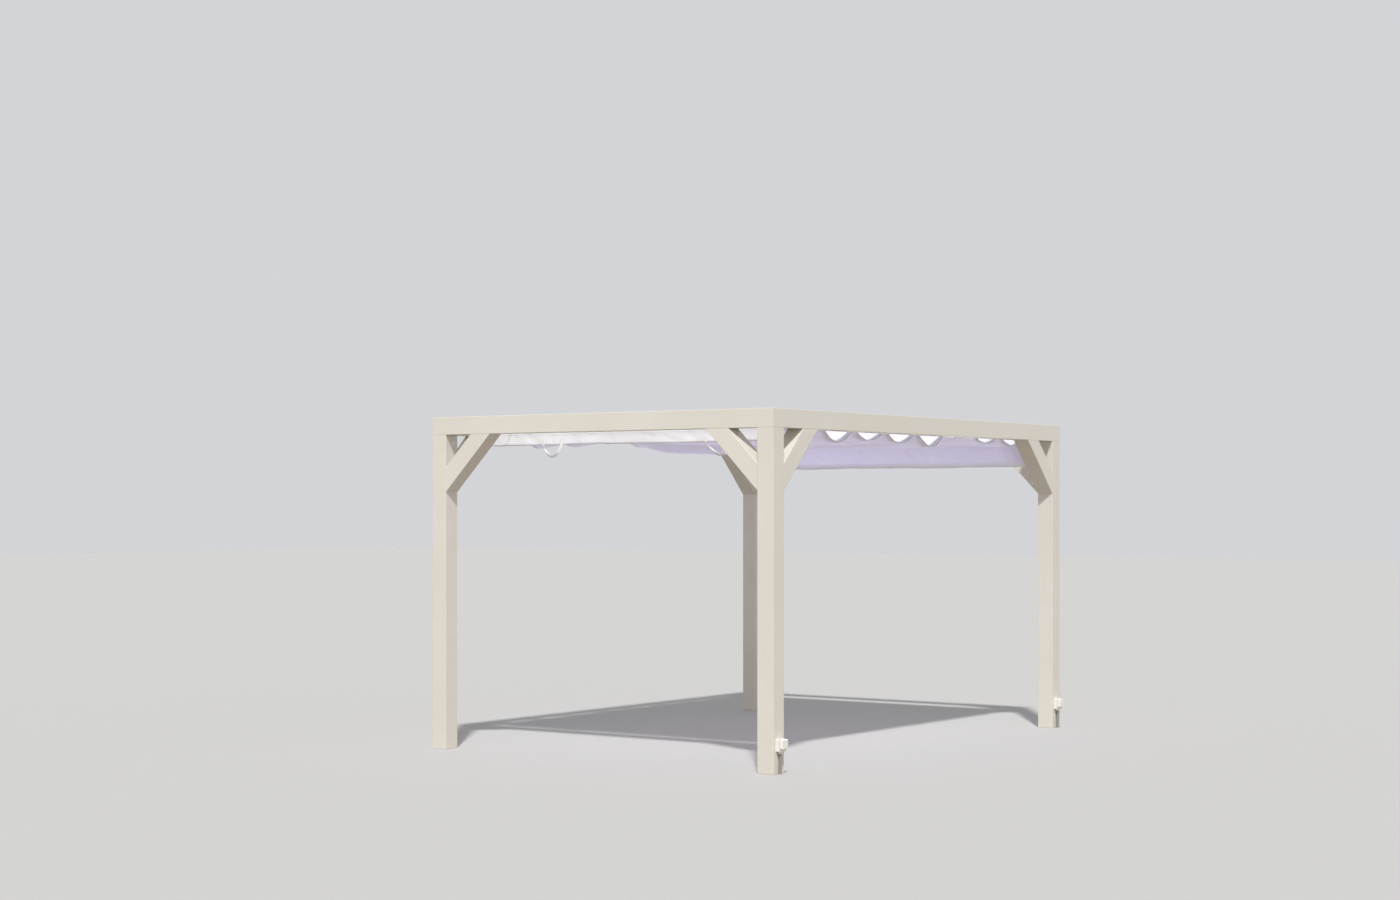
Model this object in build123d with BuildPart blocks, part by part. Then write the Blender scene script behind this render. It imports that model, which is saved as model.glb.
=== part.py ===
# Timber pergola with four square posts, a mitred ring of beams, knee braces
# and a sliding canopy that hangs in waves from battens on two taut wires.
#
# Millimetres. X runs along the long side, Y along the short side, Z up.
# The origin is on the ground, midway between the four posts.
# Front is -Y and left is -X.

import os
from math import atan2, cos, sin, sqrt

from build123d import *

os.makedirs("parts", exist_ok=True)

# Timber frame
outer_length = 4050
outer_width = 2900
total_height = 2350
timber = 125
arris_radius = 3.5
end_chamfer = 2
brace_reach = 406

# Canopy cloth, hung in waves clear of the long beams
canopy_side_gap = 18
cloth = 2
wave_sags = [46, 106, 81, 85, 102, 40, 65, 62]
first_wave_stretch = 85
near_flap_drop = 98
far_flap_drop = 222
hem_height = 25
hem_thickness = 4

# Battens in the pockets of the cloth, a little over the underside of the beams
batten_diameter = 18
batten_stick_out = 6
batten_chamfer = 1.5
batten_rise = 21
pocket_clearance = 0.3
notch_clearance = 10

# Runners that carry each batten on the wires
runner_width = 14
runner_band = 2
runner_clearance = 0.3
runner_rim = 3
runner_thickness = 6
runner_neck = 6
runner_end_gap = 8.6

# Taut wires and the fittings at their ends
wire_diameter = 5
wire_inset = 350
wire_loop_rod = 6
wire_loop_opening = 13
ferrule_length = 16
ferrule_gap = 1
ferrule_diameter = 10
link_play = 0.3
eye_rod = 7
eye_opening = 20
eye_shank_length = 8
eye_shank_diameter = 6
eye_plate_diameter = 34
eye_plate_thickness = 3
buckle_rod = 6
buckle_opening = 11
buckle_neck = 17
buckle_frame_length = 50
buckle_frame_diameter = 14
buckle_frame_chamfer = 1.5
buckle_window_wall = 8
buckle_window_width = 8
buckle_screw_diameter = 5
buckle_screw_gap = 12

# Pull straps sewn on the near flap, each at its own distance from the side
strap_width = 22
strap_thickness = 1.6
strap_span = 165
strap_drop = 88
strap_sewn_length = 45
front_strap_inset = 510
back_strap_inset = 715

# Weatherproof sockets at the foot of the two front posts
socket_width = 74
socket_height = 84
socket_base_depth = 30
socket_lid_depth = 22
socket_bottom = 144
socket_corner = 7
base_edge = 2
lid_margin = 3
lid_foot = 17
lid_corner = 5
lid_edge = 3
lid_taper = 5
hinge_diameter = 6
hinge_length = 40
lip_width = 22
lip_height = 4
lip_depth = 6
gland_wall = 3
gland_length = 12
conduit_diameter = 20
conduit_wall = 1.5
conduit_clearance = 0.3

# Sizes that follow from those above
half_length = outer_length / 2
half_width = outer_width / 2
beam_bottom = total_height - timber
beam_axis = total_height - timber / 2
post_x = half_length - timber / 2
post_y = half_width - timber / 2
inner_x = half_length - timber
inner_y = half_width - timber
brace_middle = brace_reach - timber * sqrt(2) / 2
corners = [(y, x) for y in (-1, 1) for x in (-1, 1)]

canopy_width = 2 * (inner_y - canopy_side_gap)
batten_radius = batten_diameter / 2
batten_length = canopy_width + 2 * batten_stick_out
batten_height = beam_bottom + batten_rise
pocket_inner = batten_radius + pocket_clearance
pocket_outer = pocket_inner + cloth
pocket_notch = runner_width + 2 * notch_clearance
near_hem = batten_height - near_flap_drop

wire_radius = wire_diameter / 2
wire_ys = (wire_inset - canopy_width / 2, canopy_width / 2 - wire_inset)
saddle_radius = batten_radius + runner_band
runner_hole = wire_radius + runner_clearance
runner_outer = runner_hole + runner_rim
wire_height = batten_height + saddle_radius + runner_neck + runner_outer

conduit_radius = conduit_diameter / 2
gland_inner = conduit_radius + conduit_clearance
gland_outer = gland_inner + gland_wall


# Chain of rings from each short beam to the end of the wire
def link_offset(ring_radius, ring_rod, next_radius, next_rod):
    """Distance between the centres of two rings that pull on each other."""
    return ring_radius - ring_rod / 2 - link_play - next_rod / 2 + next_radius


eye_radius = (eye_opening + eye_rod) / 2
buckle_radius = (buckle_opening + buckle_rod) / 2
loop_radius = (wire_loop_opening + wire_loop_rod) / 2
buckle_reach = buckle_frame_length + 2 * buckle_neck
eye_x = inner_x - eye_plate_thickness - eye_shank_length - eye_radius - eye_rod / 2
left_loop_x = -eye_x + link_offset(eye_radius, eye_rod, loop_radius, wire_loop_rod)
buckle_right_x = eye_x - link_offset(eye_radius, eye_rod, buckle_radius, buckle_rod)
buckle_left_x = buckle_right_x - buckle_reach
right_loop_x = buckle_left_x - link_offset(buckle_radius, buckle_rod, loop_radius, wire_loop_rod)
left_wire_end = left_loop_x + loop_radius
right_wire_end = right_loop_x - loop_radius
ferrule_inset = wire_loop_rod / 2 + ferrule_gap
ferrule_end = right_wire_end - ferrule_inset - ferrule_length

# The first wave is pulled longer than the others, and the last runner stops short of the ferrule
wave_count = len(wave_sags)
last_batten_x = ferrule_end - runner_end_gap - runner_thickness / 2
wave_pitch = (2 * last_batten_x - first_wave_stretch) / wave_count
batten_xs = [-last_batten_x] + [last_batten_x - wave_pitch * i for i in reversed(range(wave_count))]
near_flap_x = batten_xs[0] - pocket_outer
far_flap_x = batten_xs[-1] + pocket_outer


def side(x):
    return "left" if x < 0 else "right"


def row(y):
    return "front" if y < 0 else "back"


def finish(builder, name):
    """Label a finished piece and write it to its own file."""
    builder.part.label = name
    export_step(builder.part, f"parts/{name}.step")
    print(f"{name:26s} {builder.part.volume / 1000:12.1f} cm3")


# Posts: one square stick under each corner of the ring
def make_post(name, x, y):
    with BuildPart() as stick:
        with BuildSketch(Plane.XY):
            with Locations((x, y)):
                RectangleRounded(timber, timber, arris_radius)
        extrude(amount=beam_bottom)
        ends = stick.faces().sort_by(Axis.Z)
        chamfer(ends[0].edges() + ends[-1].edges(), end_chamfer)
    finish(stick, name)


for y, x in corners:
    make_post(f"{row(y)}_{side(x)}_post", x * post_x, y * post_y)


# Beams: the same section laid flat, with both ends mitred at 45 degrees
def make_beam(name, middle, along, outward, length):
    section = Plane(origin=middle, x_dir=outward, z_dir=along)
    with BuildPart() as stick:
        with BuildSketch(section):
            RectangleRounded(timber, timber, arris_radius)
        extrude(amount=length / 2, both=True)
        for end in (-1, 1):
            corner = middle + along * (end * length / 2) + outward * (timber / 2)
            mitre = Plane(origin=corner, z_dir=along * end - outward)
            split(bisect_by=mitre, keep=Keep.BOTTOM)
    finish(stick, name)


along_x = Vector(1, 0, 0)
along_y = Vector(0, 1, 0)
up = Vector(0, 0, 1)
for s in (-1, 1):
    long_middle = Vector(0, s * post_y, beam_axis)
    short_middle = Vector(s * post_x, 0, beam_axis)
    make_beam(f"{row(s)}_beam", long_middle, along_x, along_y * s, outer_length)
    make_beam(f"{side(s)}_beam", short_middle, along_y, along_x * s, outer_width)


# Knee braces: the same section at 45 degrees, cut to seat on post and beam
def make_brace(name, seat, inward):
    middle = seat + (inward - up) * (brace_middle / 2)
    section = Plane(origin=middle, x_dir=inward.cross(up), z_dir=inward + up)
    with BuildPart() as stick:
        with BuildSketch(section):
            RectangleRounded(timber, timber, arris_radius)
        extrude(amount=brace_reach, both=True)
        split(bisect_by=Plane(origin=seat, z_dir=inward), keep=Keep.TOP)
        split(bisect_by=Plane(origin=seat, z_dir=-up), keep=Keep.TOP)
    finish(stick, name)


for y, x in corners:
    corner_name = f"{row(y)}_{side(x)}"
    long_seat = Vector(x * inner_x, y * post_y, beam_bottom)
    short_seat = Vector(x * post_x, y * inner_y, beam_bottom)
    make_brace(f"{corner_name}_long_brace", long_seat, along_x * -x)
    make_brace(f"{corner_name}_short_brace", short_seat, along_y * -y)


# Canopy: one cloth in waves, a pocket over each batten and a flap at each end
def wave_band(left_x, right_x, sag):
    """One hanging wave as a band of cloth thickness between two pockets."""
    middle_x = (left_x + right_x) / 2
    half_chord = (right_x - left_x) / 2 - pocket_inner - cloth / 2
    radius = (half_chord**2 + sag**2) / (2 * sag)
    centre_z = batten_height - sag + radius
    angle = atan2(half_chord, radius - sag)

    def on_arc(r, a):
        return (middle_x + r * sin(a), centre_z - r * cos(a))

    inner, outer = radius - cloth / 2, radius + cloth / 2
    with BuildLine() as outline:
        ThreePointArc(on_arc(outer, -angle), on_arc(outer, 0), on_arc(outer, angle))
        Line(on_arc(outer, angle), on_arc(inner, angle))
        ThreePointArc(on_arc(inner, angle), on_arc(inner, 0), on_arc(inner, -angle))
        Line(on_arc(inner, -angle), on_arc(outer, -angle))
    make_face(outline.edges())


def flap(outer_x, inward, drop):
    """A flap that hangs from the outer side of an end pocket, with its hem."""
    outer_edge = Align.MIN if inward > 0 else Align.MAX
    with Locations((outer_x, batten_height)):
        Rectangle(cloth, drop, align=(outer_edge, Align.MAX))
    with Locations((outer_x, batten_height - drop)):
        Rectangle(hem_thickness, hem_height, align=(outer_edge, Align.MIN))


with BuildPart() as canopy:
    with BuildSketch(Plane.XZ):
        for i, sag in enumerate(wave_sags):
            wave_band(batten_xs[i], batten_xs[i + 1], sag)
        flap(near_flap_x, 1, near_flap_drop)
        flap(far_flap_x, -1, far_flap_drop)
        with Locations(*[(x, batten_height) for x in batten_xs]):
            Circle(pocket_outer)
            Circle(pocket_inner, mode=Mode.SUBTRACT)
    extrude(amount=canopy_width / 2, both=True)
    notch_size = (2 * pocket_outer + cloth, pocket_notch, 2 * pocket_outer)
    upwards = (Align.CENTER, Align.CENTER, Align.MIN)
    with Locations(*[(x, y, batten_height) for x in batten_xs for y in wire_ys]):
        Box(*notch_size, align=upwards, mode=Mode.SUBTRACT)
finish(canopy, "canopy")


# Battens: a round bar in each pocket, with a saddle and a ring at each wire
for i, x in enumerate(batten_xs):
    with BuildPart() as batten:
        with BuildSketch(Plane.XZ):
            with Locations((x, batten_height)):
                Circle(batten_radius)
        extrude(amount=batten_length / 2, both=True)
        chamfer(batten.faces().filter_by(Axis.Y).edges(), batten_chamfer)
        for wire_y in wire_ys:
            with BuildSketch(Plane.XZ.offset(-wire_y)):
                with Locations((x, batten_height)):
                    Circle(saddle_radius)
                    Circle(batten_radius, mode=Mode.SUBTRACT)
                    below = (Align.CENTER, Align.MAX)
                    Rectangle(2 * saddle_radius, saddle_radius, align=below, mode=Mode.SUBTRACT)
            extrude(amount=runner_width / 2, both=True)
            with BuildSketch(Plane.YZ.offset(x)):
                with Locations((wire_y, wire_height)):
                    Circle(runner_outer)
                    neck_size = (2 * runner_hole, wire_height - batten_height - batten_radius)
                    Rectangle(*neck_size, align=(Align.CENTER, Align.MAX))
                    Circle(runner_hole, mode=Mode.SUBTRACT)
            extrude(amount=runner_thickness / 2, both=True)
    finish(batten, f"batten_{i + 1}")


# Wires: a cable that ends in a level loop and a ferrule at each side
level = (0, 0, 0)
upright = (90, 0, 0)
for wire_y in wire_ys:
    with BuildPart() as wire:
        with BuildSketch(Plane.YZ.offset(left_wire_end)):
            with Locations((wire_y, wire_height)):
                Circle(wire_radius)
        extrude(amount=right_wire_end - left_wire_end)
        for start in (left_wire_end + ferrule_inset, ferrule_end):
            with BuildSketch(Plane.YZ.offset(start)):
                with Locations((wire_y, wire_height)):
                    Circle(ferrule_diameter / 2)
            extrude(amount=ferrule_length)
        loop_centres = [(x, wire_y, wire_height) for x in (left_loop_x, right_loop_x)]
        with Locations(*loop_centres):
            Torus(loop_radius, wire_loop_rod / 2, rotation=level)
    finish(wire, f"{row(wire_y)}_wire")


# Eye bolts: a plate on the inner face of each short beam, a shank and an eye
for wire_y in wire_ys:
    for s in (-1, 1):
        face = Plane(origin=(s * inner_x, wire_y, wire_height), z_dir=(-s, 0, 0))
        with BuildPart() as eye_bolt:
            with BuildSketch(face):
                Circle(eye_plate_diameter / 2)
            extrude(amount=eye_plate_thickness)
            with BuildSketch(face):
                Circle(eye_shank_diameter / 2)
            extrude(amount=eye_plate_thickness + eye_shank_length + eye_rod / 2)
            with Locations((s * eye_x, wire_y, wire_height)):
                Torus(eye_radius, eye_rod / 2, rotation=upright)
        finish(eye_bolt, f"{row(wire_y)}_{side(s)}_eye_bolt")


# Turnbuckles: an open frame with a screw and an eye at each end
buckle_x = (buckle_left_x + buckle_right_x) / 2
buckle_window_length = buckle_frame_length - 2 * buckle_window_wall
buckle_ends = ((buckle_left_x, 1, upright), (buckle_right_x, -1, level))
for wire_y in wire_ys:
    with BuildPart() as turnbuckle:
        with BuildSketch(Plane.YZ.offset(buckle_x)):
            with Locations((wire_y, wire_height)):
                Circle(buckle_frame_diameter / 2)
        extrude(amount=buckle_frame_length / 2, both=True)
        chamfer(turnbuckle.faces().filter_by(Axis.X).edges(), buckle_frame_chamfer)
        with BuildSketch(Plane.XZ.offset(-wire_y)):
            with Locations((buckle_x, wire_height)):
                SlotOverall(buckle_window_length, buckle_window_width)
        extrude(amount=buckle_frame_diameter / 2, both=True, mode=Mode.SUBTRACT)
        for eye_centre_x, inward, turned in buckle_ends:
            screw_start = eye_centre_x + inward * buckle_radius
            screw_end = buckle_x - inward * buckle_screw_gap / 2
            with BuildSketch(Plane.YZ.offset(screw_start)):
                with Locations((wire_y, wire_height)):
                    Circle(buckle_screw_diameter / 2)
            extrude(amount=screw_end - screw_start)
            with Locations((eye_centre_x, wire_y, wire_height)):
                Torus(buckle_radius, buckle_rod / 2, rotation=turned)
    finish(turnbuckle, f"{row(wire_y)}_turnbuckle")


# Pull straps: a flat loop under the near hem, with both ends sewn on the flap
strap_places = {
    "front": front_strap_inset - canopy_width / 2,
    "back": canopy_width / 2 - back_strap_inset,
}
for strap_name, place in strap_places.items():
    half_span = strap_span / 2
    half_strap = strap_width / 2
    outer_half = half_span + half_strap
    inner_half = half_span - half_strap
    with BuildPart() as strap:
        with BuildSketch(Plane.YZ.offset(near_flap_x)):
            with BuildLine():
                ThreePointArc(
                    (place - outer_half, near_hem),
                    (place, near_hem - strap_drop),
                    (place + outer_half, near_hem),
                )
                Line((place + outer_half, near_hem), (place + inner_half, near_hem))
                ThreePointArc(
                    (place + inner_half, near_hem),
                    (place, near_hem - strap_drop + strap_width),
                    (place - inner_half, near_hem),
                )
                Line((place - inner_half, near_hem), (place - outer_half, near_hem))
            make_face()
            with Locations((place - half_span, near_hem), (place + half_span, near_hem)):
                Rectangle(strap_width, strap_sewn_length, align=(Align.CENTER, Align.MIN))
        extrude(amount=-strap_thickness)
    finish(strap, f"{strap_name}_pull_strap")


# Sockets: a base on the post, a hinged lid, and a conduit down to the ground
for s in (-1, 1):
    socket_x = s * post_x
    socket_top = socket_bottom + socket_height
    base_face = Plane(origin=(socket_x, -half_width, 0), x_dir=(1, 0, 0), z_dir=(0, -1, 0))
    conduit_y = -half_width - gland_outer
    with BuildPart() as socket_base:
        with BuildSketch(base_face):
            with Locations((0, socket_bottom + socket_height / 2)):
                RectangleRounded(socket_width, socket_height, socket_corner)
        extrude(amount=socket_base_depth)
        fillet(socket_base.faces().sort_by(Axis.Y)[0].edges(), base_edge)
        with BuildSketch(Plane.XY.offset(socket_bottom - gland_length)):
            with Locations((socket_x, conduit_y)):
                Circle(gland_outer)
        extrude(amount=gland_length + socket_corner)
        with BuildSketch(Plane.XY.offset(socket_bottom - gland_length)):
            with Locations((socket_x, conduit_y)):
                Circle(gland_inner)
        extrude(amount=gland_length, mode=Mode.SUBTRACT)
    finish(socket_base, f"{side(s)}_socket_base")

    lid_width = socket_width - 2 * lid_margin
    lid_height = socket_height - lid_margin - lid_foot
    hinge_y = -half_width - socket_base_depth - hinge_diameter / 2
    with BuildPart() as socket_lid:
        with BuildSketch(base_face.offset(socket_base_depth)):
            with Locations((0, socket_bottom + lid_foot + lid_height / 2)):
                RectangleRounded(lid_width, lid_height, lid_corner)
        extrude(amount=socket_lid_depth, taper=lid_taper)
        fillet(socket_lid.faces().sort_by(Axis.Y)[0].edges(), lid_edge)
        lip_y = -half_width - socket_base_depth - socket_lid_depth / 2
        with Locations((socket_x, lip_y, socket_bottom + lid_foot)):
            Box(lip_width, lip_depth, lip_height)
        with BuildSketch(Plane.YZ.offset(socket_x)):
            with Locations((hinge_y, socket_top - lid_margin)):
                Circle(hinge_diameter / 2)
        extrude(amount=hinge_length / 2, both=True)
    finish(socket_lid, f"{side(s)}_socket_lid")

    with BuildPart() as conduit:
        with BuildSketch(Plane.XY):
            with Locations((socket_x, conduit_y)):
                Circle(conduit_radius)
                Circle(conduit_radius - conduit_wall, mode=Mode.SUBTRACT)
        extrude(amount=socket_bottom)
    finish(conduit, f"{side(s)}_conduit")
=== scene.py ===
# %% [markdown]
# # A timber pergola with a sliding wave canopy
# The timber frame, the cloth, the wires and the fittings come in from the packed
# model and stay where they are. This lesson dresses them: it paints the timber,
# sews a real canopy in place of the plain one, and adds the small things that a
# drawing of solids leaves out. Everything is in metres, X along the long side,
# Y along the short side, Z up.

# %% Load the frame
from math import atan2, cos, degrees, pi, radians, sin, sqrt

import bpy
import numpy as np
from mathutils import Matrix, Vector


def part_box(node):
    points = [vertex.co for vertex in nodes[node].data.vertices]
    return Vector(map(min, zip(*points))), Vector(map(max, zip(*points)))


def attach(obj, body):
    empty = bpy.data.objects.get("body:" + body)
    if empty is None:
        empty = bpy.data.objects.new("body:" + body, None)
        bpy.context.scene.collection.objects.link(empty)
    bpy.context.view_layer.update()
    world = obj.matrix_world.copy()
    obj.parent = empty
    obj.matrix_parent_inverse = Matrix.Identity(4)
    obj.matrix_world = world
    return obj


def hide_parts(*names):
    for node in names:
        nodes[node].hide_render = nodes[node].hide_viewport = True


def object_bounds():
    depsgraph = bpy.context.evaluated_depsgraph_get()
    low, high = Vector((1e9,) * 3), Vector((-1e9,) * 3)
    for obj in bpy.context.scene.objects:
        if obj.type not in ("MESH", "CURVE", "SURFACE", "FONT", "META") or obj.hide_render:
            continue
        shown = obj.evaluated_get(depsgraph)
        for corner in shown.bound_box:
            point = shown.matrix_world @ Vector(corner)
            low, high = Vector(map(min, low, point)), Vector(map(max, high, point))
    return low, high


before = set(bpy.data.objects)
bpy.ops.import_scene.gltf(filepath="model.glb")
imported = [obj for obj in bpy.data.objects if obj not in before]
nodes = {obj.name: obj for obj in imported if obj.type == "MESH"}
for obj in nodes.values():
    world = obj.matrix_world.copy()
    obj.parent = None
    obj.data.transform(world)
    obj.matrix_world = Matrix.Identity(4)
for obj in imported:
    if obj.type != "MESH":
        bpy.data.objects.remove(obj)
cad_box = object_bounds()
print("nodes", len(nodes), "box", [[round(c, 3) for c in corner] for corner in cad_box])

# %% [markdown]
# ## The camera
# The picture was taken at standing eye height, level, with a lens that looks a
# little upwards by shift alone, so that all posts stay upright. The same place
# and focal length are used here, worked out from the corners of the frame.

# %% Camera
QUARTER = pi / 2
EYE = Vector((-14.6002, -9.7527, 1.7113))
HEADING = radians(-54.782)
LENS = 60.58
LIFT = 57.4 / 1400  # of the picture's width


def put_in_scene(name, data):
    """A new object with that camera, light or mesh."""
    piece = bpy.data.objects.new(name, data)
    bpy.context.scene.collection.objects.link(piece)
    return piece


camera = put_in_scene("camera", bpy.data.cameras.new("camera"))
camera.data.lens = LENS
camera.data.sensor_width = 36
camera.data.shift_y = LIFT
camera.data.clip_end = 400
camera.location = EYE
camera.rotation_euler = (QUARTER, 0, HEADING)
bpy.context.scene.camera = camera
print("camera height", round(EYE.z, 2), "m")

# %% [markdown]
# ## Small tools for materials
# A material is a net of nodes, and each socket of a node takes a number, a colour
# or a link from another node. A few helpers keep the recipes below as short as
# sums. A helper that is given a socket finds the net through it, so that only the
# first node of a chain has to be told which material it belongs to.


# %% Feeding nodes
def feed(socket, value):
    """Links a socket to another one, or sets it to a number, a vector or a colour."""
    if isinstance(value, bpy.types.NodeSocket):
        socket.id_data.links.new(value, socket)
    else:
        socket.default_value = (*value, 1) if socket.type == "RGBA" else value


def feed_all(node, **inputs):
    """Feeds sockets by name, with _ for a space, or by number, as in i2."""
    for name, value in inputs.items():
        feed(node.inputs[int(name[1:]) if name[1:].isdigit() else name.replace("_", " ")], value)


def add(net, kind, **inputs):
    """A new node of that kind in a net, with some of its sockets fed."""
    node = net.nodes.new(kind)
    feed_all(node, **inputs)
    return node


def new_finish(name, **looks):
    """A material, and its Principled shader with some of its sockets fed."""
    material = bpy.data.materials.new(name)
    material.use_nodes = True
    shader = material.node_tree.nodes["Principled BSDF"]
    feed_all(shader, **looks)
    return material, shader


def here(material):
    """The place of each point of the object, in metres."""
    return add(material.node_tree, "ShaderNodeTexCoord").outputs["Object"]


# %% Sums, blends and patterns
def calculate(operation, first, second=0.0):
    """A sum or another operation on one or two values."""
    node = first.id_data.nodes.new("ShaderNodeMath")
    node.operation = operation
    feed_all(node, i0=first, i1=second)
    return node.outputs[0]


def times(first, second):
    return calculate("MULTIPLY", first, second)


def map_range(value, low, high, to_low=0.0, to_high=1.0):
    """A value stretched from one range to another, and kept inside it."""
    node = add(value.id_data, "ShaderNodeMapRange", i0=value, i1=low, i2=high, i3=to_low, i4=to_high)
    return node.outputs[0]


def blend(share, first, second):
    """A share of the second colour over the first."""
    node = share.id_data.nodes.new("ShaderNodeMix")
    node.data_type = "RGBA"
    feed_all(node, i0=share, i6=first, i7=second)
    return node.outputs[2]


def noise(place, scale, detail=2.0, roughness=0.5):
    """Cloudy noise, mostly between 0.3 and 0.7."""
    look = {"Vector": place, "Scale": scale, "Detail": detail, "Roughness": roughness}
    return add(place.id_data, "ShaderNodeTexNoise", **look).outputs["Fac"]


def parts_of(place):
    """The X, Y and Z of a place."""
    return add(place.id_data, "ShaderNodeSeparateXYZ", Vector=place).outputs


def cover(piece, material):
    """Gives a piece one finish all over."""
    piece.data.materials.clear()
    piece.data.materials.append(material)


# %% [markdown]
# ## Floor
# A plain pale floor carries the shadow. Seen by the camera it is pale grey, but
# the light that it throws back up is that of a darker, warmer ground, so that
# undersides stay in soft shade. One colour can't do both, so the material tells
# the rays that the camera sees from those that only carry light.

# %% Floor
SEEN_FLOOR = (0.53, 0.527, 0.52)
SEEN_FLOOR_PALE = (0.56, 0.56, 0.56)
GROUND = (0.36, 0.315, 0.25)


def seen_directly(owner):
    """1 where the camera sees it, straight, in a reflection or through something thin, else 0."""
    ray = add(owner.node_tree, "ShaderNodeLightPath").outputs
    direct = calculate("MAXIMUM", ray["Is Camera Ray"], ray["Is Glossy Ray"])
    return calculate("MAXIMUM", direct, ray["Is Transmission Ray"])


bpy.ops.object.select_all(action="DESELECT")
bpy.ops.mesh.primitive_plane_add(size=120, location=(0, 0, 0))
floor = bpy.context.object
floor.name = "floor"
floor_finish, floor_shader = new_finish("pale floor", Roughness=0.9)
direct = seen_directly(floor_finish)
cloudy = noise(here(floor_finish), 0.7, 4)
seen = blend(map_range(cloudy, 0.3, 0.7, 0, 0.06), SEEN_FLOOR, SEEN_FLOOR_PALE)
feed(floor_shader.inputs["Base Color"], blend(direct, GROUND, seen))
cover(floor, floor_finish)
print("floor", floor.dimensions.x, "m across")

# %% [markdown]
# ## Light
# One broad lamp stands behind the camera and above it. A sky that is strong at
# the horizon and weak overhead fills in the rest, so that upright faces get more
# of it than the top of the cloth. A soft panel on the far side shines through the
# far flap. Light linking leaves the floor out of it, because the panel would draw
# a bright patch with hard edges there.

# %% Lamp
LAMP_HEIGHT = radians(52)
LAMP_POWER = 3.1


def new_light(name, kind, power, colour):
    light = put_in_scene(name, bpy.data.lights.new(name, kind))
    light.data.energy = power
    light.data.color = colour
    return light


lamp = new_light("lamp", "SUN", LAMP_POWER, (1.0, 0.99, 0.97))
lamp.data.angle = radians(3)
level, upwards = cos(LAMP_HEIGHT), sin(LAMP_HEIGHT)
to_lamp = Vector((sin(HEADING) * level, -cos(HEADING) * level, upwards))
lamp.rotation_euler = to_lamp.to_track_quat("Z", "Y").to_euler()
print("lamp comes from", [round(c, 2) for c in to_lamp])

# %% Soft panel
FILL_POWER = 200
FILL_TALL, FILL_WIDE = 3.5, 4.5
FILL_PLACE = (5.0, 3.0, 1.9)
FILL_TURN = 0.25

fill = new_light("fill", "AREA", FILL_POWER, (1.0, 0.985, 0.955))
fill.data.shape = "RECTANGLE"
fill.data.size, fill.data.size_y = FILL_TALL, FILL_WIDE
fill.location = FILL_PLACE
fill.rotation_euler = (0, QUARTER, FILL_TURN)
fill.visible_camera = False
unlit_by_fill = bpy.data.collections.new("unlit by fill")
unlit_by_fill.objects.link(floor)
unlit_by_fill.collection_objects[0].light_linking.link_state = "EXCLUDE"
fill.light_linking.receiver_collection = unlit_by_fill
print("soft panel", FILL_TALL, "by", FILL_WIDE, "m")

# %% Sky
SKY = 0.75
SKY_LOW, SKY_HIGH = 1.4 * SKY, 0.2 * SKY
SEEN_SKY = 0.665

world = bpy.data.worlds.new("sky")
world.use_nodes = True
bpy.context.scene.world = world
sky_net = world.node_tree
height_of_ray = parts_of(add(sky_net, "ShaderNodeTexCoord").outputs["Generated"])["Z"]
dome = map_range(height_of_ray, 0, 1, SKY_LOW, SKY_HIGH)
strength = add(sky_net, "ShaderNodeMix", i0=seen_directly(world), i2=dome, i3=SEEN_SKY)
feed_all(sky_net.nodes["Background"], Strength=strength.outputs[0], Color=(0.98, 0.99, 1.02))
bpy.context.scene.view_settings.view_transform = "Standard"
print("sky from", round(SKY_LOW, 2), "at the horizon to", round(SKY_HIGH, 2), "overhead")

# %% [markdown]
# ## Painted timber
# Planed softwood under an opaque satin paint, a warm off-white. The grain shows
# as a shallow relief along each stick, a knot here and there as a faint warmer
# spot, and where the paint thins its gloss changes more than its colour. The
# pattern runs along each stick, so the recipe is used once for each direction.

# %% Paint recipe
PAINT = (0.672, 0.643, 0.582)
PAINT_WARM = (0.636, 0.594, 0.521)
PAINT_PALE = (0.701, 0.675, 0.622)
KNOT = (0.60, 0.50, 0.38)


def turned(place, rotation=(0, 0, 0), scale=(1, 1, 1)):
    """A place that is turned and stretched, so that a pattern on it is too."""
    return add(place.id_data, "ShaderNodeMapping", Vector=place, Rotation=rotation, Scale=scale).outputs[0]


def raise_surface(shader, height, metres):
    """Bump from a height of 0 to 1 that stands for that many metres, over any earlier bump."""
    bump = add(height.id_data, "ShaderNodeBump", Height=height, Distance=metres, Strength=1.0)
    for earlier in shader.inputs["Normal"].links:
        feed(bump.inputs["Normal"], earlier.from_socket)
    feed(shader.inputs["Normal"], bump.outputs[0])
    return bump.outputs[0]


def painted_timber(name, rotation):
    """Paint over softwood whose grain runs along X once its place is turned."""
    material, shader = new_finish(name, Specular_IOR_Level=0.42)
    along = turned(here(material), rotation=rotation)
    broad = noise(along, 2.3, 3)
    colour = blend(map_range(broad, 0.3, 0.7), PAINT_PALE, PAINT)
    grain = noise(turned(along, scale=(1.2, 55, 55)), 2.0, 4, 0.62)
    colour = blend(map_range(grain, 0.45, 0.75, 0, 0.16), colour, PAINT_WARM)
    knot_place = turned(along, scale=(1.1, 3.4, 3.4))
    knots = add(material.node_tree, "ShaderNodeTexVoronoi", Vector=knot_place, Scale=1.0)
    spot = map_range(knots.outputs["Distance"], 0.028, 0.075, 0.22, 0.0)
    gloss = map_range(broad, 0.25, 0.75, 0.40, 0.54)
    feed_all(shader, Base_Color=blend(spot, colour, KNOT), Roughness=gloss)
    raise_surface(shader, grain, 0.00035)
    raise_surface(shader, noise(along, 320, 2), 0.00006)
    return material


# %% [markdown]
# Each stick gets the paint that is turned to its own run: posts along Z, the
# long beams along X, the short beams along Y, and the knee braces at 45 degrees
# one way or the other.

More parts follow.
